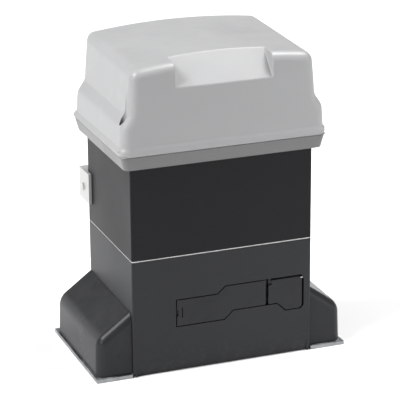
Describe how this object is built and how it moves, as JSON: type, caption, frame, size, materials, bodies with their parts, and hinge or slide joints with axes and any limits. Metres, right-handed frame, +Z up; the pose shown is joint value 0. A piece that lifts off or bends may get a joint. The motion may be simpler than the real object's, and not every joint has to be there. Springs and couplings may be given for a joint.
{
  "type": "sliding gate motor",
  "caption": "Upright rack drive for a sliding gate: gear case with front release, motor housing, domed hood, side foot covers and base plate.",
  "frame": {"origin": "on the base plate's underside, below the middle of the gear case", "axes": "+Z up, -Y the front with the release lever, +Y towards the gate and its rack, X along the gate"},
  "size_m": [0.275, 0.1911, 0.336],
  "materials": {
    "galvanised_steel": "galvanised, mottled",
    "case_paint": "charcoal powder coat, fine texture",
    "dark_plastic": "charcoal, fine grain",
    "light_plastic": "light grey, fine grain",
    "white_plastic": "near white, smooth",
    "zinc_steel": "zinc plated",
    "machined_steel": "turned and cut",
    "bearing_steel": "ground",
    "bronze": "cut bronze",
    "lock_brass": "machined brass",
    "rubber": "matt black",
    "gasket_sheet": "light sealing sheet",
    "cast_aluminium": "machined casting",
    "lamination_steel": "stacked laminations",
    "copper_winding": "varnished copper wire",
    "capacitor_can": "drawn can",
    "board_laminate": "green solder mask",
    "terminal_plastic": "green moulding",
    "component_black": "black moulding",
    "button_plastic": "pale moulding"
  },
  "bodies": {
    "base": {"foundation_plate": "galvanised_steel", "gear_case": "case_paint", "gear_chamber": "case_paint", "side_cover_left": "dark_plastic", "side_cover_right": "dark_plastic", "oil_plug": "lock_brass", "case_bolts": "zinc_steel", "foot_bolts": "zinc_steel", "hinge_pins": "zinc_steel", "lock_body": "lock_brass", "front_shaft_bearing": "bearing_steel", "rear_shaft_bearing": "bearing_steel", "oil_seal": "rubber", "motor_housing": "case_paint", "case_gasket": "gasket_sheet", "motor_end_plate": "cast_aluminium", "lower_motor_bearing": "bearing_steel", "motor_end_cap": "cast_aluminium", "upper_motor_bearing": "bearing_steel", "worm_bearing": "bearing_steel", "stator_core": "lamination_steel", "stator_windings": "copper_winding", "start_capacitor": "capacitor_can", "transformer": "lamination_steel", "limit_switch_box": "white_plastic", "limit_switch_screw": "zinc_steel", "limit_sensor": "component_black", "tray": "light_plastic", "tray_screws": "zinc_steel", "cable_grommet": "rubber", "hood_gasket": "rubber", "control_board": "board_laminate", "board_pillars": "zinc_steel", "terminal_blocks": "terminal_plastic", "relays": "component_black", "processor": "component_black", "button_bases": "component_black"},
    "output": {"output_shaft": "machined_steel", "worm_wheel": "bronze", "disc_springs": "machined_steel", "clutch_nut": "machined_steel", "rod_spring": "machined_steel", "pinion": "machined_steel", "pinion_key": "machined_steel", "pinion_bolt": "zinc_steel"},
    "clutch": {"clutch_hub": "machined_steel", "cross_pin": "machined_steel", "release_rod": "machined_steel"},
    "rotor": {"worm_shaft": "machined_steel", "rotor_core": "lamination_steel", "encoder_disc": "component_black"},
    "release_lever": {"release_lever": "dark_plastic"},
    "lock_cap": {"lock_cap": "dark_plastic"},
    "lock_barrel": {"lock_barrel": "lock_brass", "lock_tab": "zinc_steel"},
    "hood": {"hood": "light_plastic", "hood_screws": "zinc_steel"},
    "button_1": {"button_1": "button_plastic"},
    "button_2": {"button_2": "button_plastic"},
    "button_3": {"button_3": "button_plastic"}
  },
  "joints": [
    {"name": "rotor_spin", "type": "hinge", "parent": "base", "child": "rotor", "pos_m": [-0.023, 0, 0.1], "axis": [0, 0, 1], "continuous": true},
    {"name": "output_spin", "type": "hinge", "parent": "base", "child": "output", "pos_m": [0.027, 0, 0.073], "axis": [0, 1, 0], "continuous": true},
    {"name": "clutch_slide", "type": "slide", "parent": "output", "child": "clutch", "axis": [0, -1, 0], "range_m": [0, 0.005]},
    {"name": "lever_hinge", "type": "hinge", "parent": "base", "child": "release_lever", "pos_m": [0.045, -0.064, 0.073], "axis": [0, 0, 1], "range_deg": [0, 90]},
    {"name": "cap_hinge", "type": "hinge", "parent": "base", "child": "lock_cap", "pos_m": [0.07, -0.0665, 0.0832], "axis": [-1, 0, 0], "range_deg": [0, 90]},
    {"name": "barrel_turn", "type": "hinge", "parent": "base", "child": "lock_barrel", "pos_m": [0.064, -0.06, 0.0642], "axis": [0, -1, 0], "range_deg": [0, 90]},
    {"name": "hood_lift", "type": "slide", "parent": "base", "child": "hood", "axis": [0, 0, 1], "range_m": [0, 0.12]},
    {"name": "button_1_press", "type": "slide", "parent": "base", "child": "button_1", "axis": [0, 0, -1], "range_m": [0, 0.0005], "stiffness_N_per_m": 800},
    {"name": "button_2_press", "type": "slide", "parent": "base", "child": "button_2", "axis": [0, 0, -1], "range_m": [0, 0.0005], "stiffness_N_per_m": 800},
    {"name": "button_3_press", "type": "slide", "parent": "base", "child": "button_3", "axis": [0, 0, -1], "range_m": [0, 0.0005], "stiffness_N_per_m": 800}
  ],
  "couplings": [
    {"joint": "output_spin", "follows": "rotor_spin", "ratio": -0.033333},
    {"joint": "clutch_slide", "follows": "lever_hinge", "m_per_rad": 0.00318}
  ]
}
